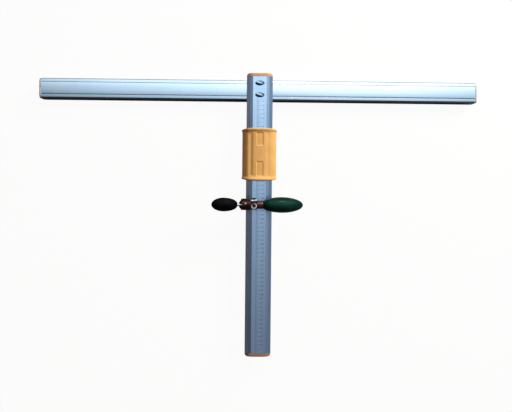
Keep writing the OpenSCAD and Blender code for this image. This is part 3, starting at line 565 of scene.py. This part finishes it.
blued_steel = worked_metal("blued_steel", (0.04, 0.1, 0.17), (0.08, 0.17, 0.26), 220, 700, 0.26, 0.4)
screws_low, screws_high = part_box("fence_screws")
bar_top = screws_high.z - head_height
screw_pitch = screws_high.y - screws_low.y - head_width
heads = bmesh.new()
for side in (-1, 1):
    one_head = oval_head((0, side * screw_pitch / 2, bar_top))
    copy = bpy.data.meshes.new("one_head")
    one_head.to_mesh(copy)
    one_head.free()
    heads.from_mesh(copy)
    bpy.data.meshes.remove(copy)
    bmesh.ops.create_cone(
        heads,
        cap_ends=True,
        segments=32,
        radius1=shank_radius,
        radius2=shank_radius,
        depth=bar_top - screws_low.z,
        matrix=Matrix.Translation((0, side * screw_pitch / 2, (bar_top + screws_low.z) / 2)),
    )
screw_pieces = finished(
    "fence_screw_heads", heads, blued_steel, "bars", "screw_blued", "fence_screws", smooth=40
)
slot_lines = (1200, 200, 1200)
# Painted highlight: bright steel on the floors of the slots.
slot_highlight_steel = worked_metal(
    "painted_highlight_slot_steel", (0.66, 0.72, 0.78), (0.84, 0.88, 0.92), slot_lines, slot_lines, 0.24, 0.4
)
screw_pieces.data.materials.append(slot_highlight_steel)
for face in screw_pieces.data.polygons:
    middle = Vector((0, math.copysign(screw_pitch / 2, face.center.y), 0))
    beside = (face.center - middle).dot(slot_across)
    if abs(beside) < slot_width / 2 and face.normal.z > 0.5 and face.center.z > bar_top:
        face.material_index = 1

# Spacer tubes and threaded plate. Turned steel tubes keep the screws from crushing the ruler bar, and a
# steel plate inside the fence takes their threads.
turned_steel = worked_metal(
    "turned_steel", (0.48, 0.5, 0.53), (0.6, 0.62, 0.65), 80, 900, 0.25, 0.42, 0.000005
)
for node in ("spacer_tubes", "nut_plate"):
    paint(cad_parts[node], turned_steel)

# Grip. Two shells of yellow plastic with a silky skin, screwed together round the bar. The upper one has
# a lip at each end, two long grooves and two shallow pockets, all with the soft edges of a moulding, and its
# left flank is nearly flat.
grip_low, grip_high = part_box("grip_top_shell")
grip_middle = (grip_low.y + grip_high.y) / 2
grip_joint = grip_low.z
grip_half = (grip_high.y - grip_low.y) / 2
lip_reach = 0.0016
lip_rise = 0.0024
lip_length = 0.0048
lip_root = 0.85
lip_turn_from = 0.6
lip_turned_in = 0.5
flare_length = 0.0062
flare_power = 1.8
end_arch = 0.0036
end_pull = lip_length + flare_length
end_power = 5
plain_half = grip_half - lip_length - flare_length
skin_half = grip_high.x - lip_reach
skin_rise = grip_high.z - lip_rise - grip_joint
skin_power = 2.15
flank_from = 0.68
flank_share = 0.7
joint_zone = 0.0001
joint_pull = 0.0002
bore_half = 0.0314
bore_points = ((0, 0.00735), (0.0161, 0.00735), (0.0231, 0.00515), (0.03135, 0.0002), (bore_half, 0))
groove_at = 0.0207
groove_depth = 0.0013
groove_half = 0.0077
groove_end = 0.003
groove_end_run = 0.005
right_groove_share = 0.5
pocket_middle = 0.0013
pocket_half = 0.0076
pocket_depth = 0.001
pocket_corner = 0.0016
pocket_wall = 0.0012
pocket_inset = 0.0108
rear_pocket = 0.03
front_pocket = 0.0345
pockets = (
    (grip_half - pocket_inset - rear_pocket, grip_half - pocket_inset),
    (pocket_inset - grip_half, pocket_inset - grip_half + front_pocket),
)


def eased(share):
    """Smooth step from 0 to 1."""
    share = max(0, min(1, share))
    return share * share * (3 - 2 * share)


def bore_rise(x):
    """Height of the bore's roof above the joint."""
    x = abs(x)
    for (left, high), (right, low) in zip(bore_points, bore_points[1:]):
        if x <= right:
            return high + (low - high) * (x - left) / (right - left)
    return 0


def lip_at(y):
    """Share of the lip's full reach at this distance from the grip's middle."""
    y = abs(y)
    if y < plain_half:
        return 0
    if y < grip_half - lip_length:
        return lip_root * ((y - plain_half) / flare_length) ** flare_power
    share = (y - grip_half + lip_length) / lip_length
    crest = (1 - lip_root) * math.sin(math.pi * share)
    turned_in = lip_turned_in * (max(0, share - lip_turn_from) / (1 - lip_turn_from)) ** 2
    return lip_root + crest - turned_in


def skin_shape(x):
    """Share of the skin's rise at this distance from the middle. The left flank is nearly flat."""
    bent = abs(x) / skin_half
    full = max(0, 1 - bent**skin_power) ** (1 / skin_power)
    if x > 0 or bent < flank_from:
        return full
    straight = (1 - flank_from**skin_power) ** (1 / skin_power) * (1 - bent) / (1 - flank_from)
    return full + flank_share * (straight - full)


def hollow_at(x, y):
    """Depth of the groove or pocket at this place."""
    beside = abs(abs(x) - groove_at)
    depth = 0
    if beside < groove_half:
        valley = groove_depth * (0.5 + 0.5 * math.cos(math.pi * beside / groove_half))
        valley *= 1 if x < 0 else right_groove_share
        depth = valley * (1 - eased((abs(y) - plain_half + groove_end) / groove_end_run))
    for start, end in pockets:
        over_x = abs(x - pocket_middle) - pocket_half + pocket_corner
        over_y = abs(y - (start + end) / 2) - (end - start) / 2 + pocket_corner
        outside = math.hypot(max(0, over_x), max(0, over_y)) + min(0, max(over_x, over_y)) - pocket_corner
        depth = max(depth, pocket_depth * (1 - eased(outside / (2 * pocket_wall) + 0.5)))
    return depth


# The mesh is finest where the grooves, the pockets' walls and the lips bend. Its points across are in tenths
# of a millimetre, and the ones near the ends in millimetres from the end.
flank_turns = range(0, 64, 5)
skin_tenths = (
    226, 219, 212, 205, 198, 190, 182, 175, 168, 161, 154, 147, 140, 128, 114, 102,
    97, 93, 90, 87, 84, 81, 78, 74, 70, 66, 62, 58, 54, 45, 32, 16,
)
pocket_steps = (-0.0014, -0.0008, -0.0004, 0, 0.0004, 0.0008, 0.0014)
end_steps = (0, 0.3, 0.8, 1.5, 2.4, 3.4, 4.2, 4.6, 5, 6, 7.2, 8.6, 10, 10.6)
least_row = 0.00015
half_columns = [skin_half * math.cos(math.radians(turn)) ** (2 / skin_power) for turn in flank_turns]
half_columns += [tenth / 10000 for tenth in skin_tenths]
columns = [-x for x in half_columns] + [0] + half_columns[::-1]
rows = [y / 1000 for y in range(-50, 51, 4)]
for start, end in pockets:
    for edge in (start, end):
        rows += [edge + shift for shift in pocket_steps]
for edge in (-1, 1):
    rows += [edge * (grip_half - back / 1000) for back in end_steps]
rows = sorted(rows)
rows = [y for y, after in zip(rows, rows[1:] + [math.inf]) if after - y > least_row]

grip_form = bmesh.new()
bmesh.ops.create_grid(grip_form, x_segments=len(columns) - 1, y_segments=len(rows) - 1, size=0.5)
skin_points = set(grip_form.verts)
bmesh.ops.extrude_face_region(grip_form, geom=grip_form.faces[:])
for vert in grip_form.verts:
    column = columns[round((vert.co.x + 0.5) * (len(columns) - 1))]
    row = rows[round((vert.co.y + 0.5) * (len(rows) - 1))]
    bent = abs(column) / skin_half
    reach = lip_at(row)
    hollow = hollow_at(column, row)
    over = abs(row) - grip_half + end_pull
    if over > 0:
        row = math.copysign(abs(row) - over * end_arch * bent**end_power / end_pull, row)
    if vert in skin_points:
        rise = (skin_rise + lip_rise * reach) * skin_shape(column) - hollow
        across = column * (1 + lip_reach * reach / skin_half)
        if rise < joint_zone:
            across -= math.copysign(joint_pull, across)
        vert.co = (across, grip_middle + row, grip_joint + max(0, rise))
    else:
        across = column * bore_half / skin_half
        vert.co = (across, grip_middle + row, grip_joint + bore_rise(across))
bmesh.ops.recalc_face_normals(grip_form, faces=grip_form.faces[:])
grip_yellow = moulded_plastic("grip_yellow", (0.79, 0.46, 0.15), (0.85, 0.505, 0.175), 0.38, 0.52)
finished("grip_upper", grip_form, grip_yellow, "grip", "grip_yellow", "grip_top_shell", smooth=50)
rounded("grip_lower", "grip_bottom_shell", 0, grip_yellow, "grip", "grip_yellow")

# Grip screws. Four turned steel screws that go up from the lower shell into the upper one. Their tips are
# drawn short enough to stay under its rounder skin.
screw_reach = 0.003
screws_in_grip = softened("grip_screws", 0)
for vert in screws_in_grip.verts:
    vert.co.z = min(vert.co.z, grip_joint + screw_reach)
finished("grip_screw_set", screws_in_grip, turned_steel, "grip", "steel", "grip_screws")

# Leaf spring. A bowed strip of rolled spring steel in the lower shell, which rubs on the bar and keeps the
# grip where it is put.
rolled_steel = worked_metal(
    "rolled_spring",
    (0.36, 0.38, 0.42),
    (0.46, 0.48, 0.52),
    (90, 30, 90),
    (1500, 20, 1500),
    0.2,
    0.34,
    detail=4.0,
)
paint(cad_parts["grip_leaf_spring"], rolled_steel)

# Carriage. A bronze casting over the bar with a dark patina. The drum on it carries the clamp's spindle, and
# the block beside the drum carries the shoe and the handle.
dark_bronze = worked_metal(
    "dark_bronze", (0.022, 0.01, 0.009), (0.075, 0.034, 0.028), 120, 600, 0.28, 0.5, 0.00003, detail=4.0
)
rounded("carriage_casting", "carriage_body", 0.0005, dark_bronze, "carriage", "bronze_dark")
rounded("back_plate_casting", "back_plate", 0.0005, dark_bronze, "carriage", "bronze_dark")

# Small screws and pads. Turned steel screws hold the back plate, the index plate, the cutter's post and the
# handle, and two pads of white nylon let the carriage slide under the bar.
for node in ("back_plate_screws", "index_screws", "post_set_screw", "handle_bolt"):
    paint(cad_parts[node], turned_steel)
white_nylon = moulded_plastic("white_nylon", (0.82, 0.82, 0.78), (0.88, 0.88, 0.84), 0.45, 0.6)
paint(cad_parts["glide_pads"], white_nylon)

# Index plate. A strip of steel screwed to the side of the block that is turned to the fence. It is painted
# dark all over as shade, but for its upper edge, which is painted bright as a highlight.
index_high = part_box("index_plate")[1]
highlight_from = index_high.z - 0.0016
highlight_to = index_high.z - 0.0008
shade_and_highlight_steel = new_finish("shade_and_highlight_steel", metallic=1.0)
shade_and_highlight_nodes = shade_and_highlight_steel.node_tree.nodes
shade_and_highlight_place = shade_and_highlight_nodes.new("ShaderNodeTexCoord")
shade_and_highlight_parts = shade_and_highlight_nodes.new("ShaderNodeSeparateXYZ")
shade_and_highlight_steel.node_tree.links.new(shade_and_highlight_place.outputs["Object"], shade_and_highlight_parts.inputs["Vector"])
highlight_edge = levels(shade_and_highlight_steel, shade_and_highlight_parts.outputs["Z"], 0, 1, highlight_from, highlight_to)
shade_and_highlight_fine = grain(shade_and_highlight_steel, (60, 900, 900))
wire(
    shade_and_highlight_steel,
    # Painted shade below, painted highlight along the upper edge.
    tones(shade_and_highlight_steel, highlight_edge, (0.035, 0.026, 0.024), (0.86, 0.88, 0.92), 0.2, 0.8),
    levels(shade_and_highlight_steel, shade_and_highlight_fine, 0.2, 0.36),
    relief(shade_and_highlight_steel, shade_and_highlight_fine, 0.000006),
)
rounded("index_strip", "index_plate", 0.0003, shade_and_highlight_steel, "carriage", "bright_steel")

# Cover screw. A steel socket screw that closes the shoe's bore from above. Its rim has a painted highlight,
# least towards the knob and the fence, and its socket and middle are painted dark as shade.
cover_low, cover_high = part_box("cover_screw")
cover_centre = Vector(((cover_low.x + cover_high.x) / 2, (cover_low.y + cover_high.y) / 2, 0))
rim_from = 0.0042
rim_to = 0.0048
lit_way = Vector((0.5, -0.86, 0))
lit_from = cover_centre.dot(lit_way) - 0.006
lit_to = cover_centre.dot(lit_way) - 0.0005
cover_steel = new_finish("cover_steel", metallic=1.0)
cover_nodes = cover_steel.node_tree.nodes
cover_links = cover_steel.node_tree.links
cover_place = cover_nodes.new("ShaderNodeTexCoord")
cover_flat = cover_nodes.new("ShaderNodeMapping")
cover_flat.inputs["Scale"].default_value = (1, 1, 0)
cover_radius = cover_nodes.new("ShaderNodeVectorMath")
cover_radius.operation = "DISTANCE"
cover_radius.inputs[1].default_value = cover_centre
cover_side = cover_nodes.new("ShaderNodeVectorMath")
cover_side.operation = "DOT_PRODUCT"
cover_side.inputs[1].default_value = lit_way
cover_highlight = cover_nodes.new("ShaderNodeMath")
cover_highlight.operation = "MULTIPLY"
cover_links.new(cover_place.outputs["Object"], cover_flat.inputs["Vector"])
cover_links.new(cover_flat.outputs["Vector"], cover_radius.inputs[0])
cover_links.new(cover_flat.outputs["Vector"], cover_side.inputs[0])
cover_rim = levels(cover_steel, cover_radius.outputs["Value"], 0, 1, rim_from, rim_to)
cover_lit_side = levels(cover_steel, cover_side.outputs["Value"], 0.12, 1, lit_from, lit_to)
cover_links.new(cover_rim, cover_highlight.inputs[0])
cover_links.new(cover_lit_side, cover_highlight.inputs[1])
cover_fine = grain(cover_steel, 500)
wire(
    cover_steel,
    # Painted highlight on the rim, painted shade in the socket.
    tones(cover_steel, cover_highlight.outputs["Value"], (0.07, 0.035, 0.028), (0.8, 0.82, 0.86), 0.1, 0.9),
    levels(cover_steel, cover_fine, 0.12, 0.28),
    relief(cover_steel, cover_fine, 0.000004),
)
rounded("cover_ring", "cover_screw", 0.0003, cover_steel, "carriage", "bright_steel")

# Brake screw. A small slotted steel screw, gone brown. It leans into the drum's upper side and holds the
# spindle's setting.
browned_steel = worked_metal("browned_steel", (0.16, 0.12, 0.11), (0.3, 0.25, 0.23), 200, 700, 0.2, 0.34)
paint(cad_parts["spindle_brake_screw"], browned_steel)

# Ferrule. A short turned tube of red-brown bronze between the block and the handle, with the fine rings of
# the lathe.
ferrule_bronze = worked_metal(
    "ferrule_bronze", (0.06, 0.03, 0.027), (0.13, 0.062, 0.05), 140, (2400, 6, 6), 0.18, 0.34, 0.00001
)
rounded("ferrule", "handle_ferrule", 0.0006, ferrule_bronze, "carriage", "ferrule_brown")

# Handle. Turned dark green plastic with a silky polish, which runs loose on its bolt, and a plug of the same
# plastic over the bolt's head.
handle_green = new_finish("handle_green", specular=0.27)
green_shader = handle_green.node_tree.nodes["Principled BSDF"]
green_shader.inputs["Specular Tint"].default_value = (0.2, 1.0, 0.75, 1)
green_fine = grain(handle_green, 900, 2.0)
green_slow = grain(handle_green, (26, 70, 70), 4.0)
wire(
    handle_green,
    tones(handle_green, green_slow, (0.0025, 0.015, 0.011), (0.006, 0.031, 0.022)),
    levels(handle_green, green_fine, 0.2, 0.28),
    relief(handle_green, green_fine, 0.000001),
)
rounded("green_handle", "handle_grip", 0.0002, handle_green, "handle", "handle_green")
rounded("green_plug", "handle_end_plug", 0.0002, handle_green, "handle", "handle_green")

# Knob and spindle. The knob is black moulded plastic in the shape of a drop, dulled by use, and turns the
# spindle, a polished steel stem with a cone at its inner end.
knob_black = new_finish("knob_black", specular=0.04)
black_fine = grain(knob_black, 900, 2.0)
wire(
    knob_black,
    tones(knob_black, grain(knob_black, 60), (0.002, 0.0022, 0.003), (0.005, 0.0055, 0.007)),
    levels(knob_black, black_fine, 0.34, 0.46),
    relief(knob_black, black_fine, 0.000004),
)
rounded("black_knob", "clamp_knob", 0.0001, knob_black, "clamp", "knob_black")
polished_steel = worked_metal(
    "polished_steel", (0.74, 0.76, 0.8), (0.84, 0.86, 0.9), 150, 500, 0.1, 0.22, 0.000002
)
paint(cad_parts["clamp_spindle"], polished_steel)

# Shoe. A turned plunger of bearing bronze in the block. The spindle's cone presses on its slanted top, and
# so clamps the carriage to the bar.
shoe_bronze = worked_metal(
    "shoe_bronze", (0.5, 0.36, 0.16), (0.64, 0.48, 0.24), 200, 900, 0.25, 0.4, 0.000005
)
paint(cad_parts["clamp_shoe"], shoe_bronze)

# Cutter. A turned steel post in the carriage, a fork whose journal swivels in the post and is kept by a pin,
# and a hardened wheel with a ground rim, which turns on its axle in the fork.
wheel_steel = worked_metal("wheel_steel", (0.4, 0.41, 0.44), (0.54, 0.55, 0.58), 300, 1500, 0.16, 0.3)
for node in ("cutter_post", "holder_pin", "wheel_holder", "wheel_axle"):
    paint(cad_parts[node], turned_steel)
paint(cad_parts["cutting_wheel"], wheel_steel)
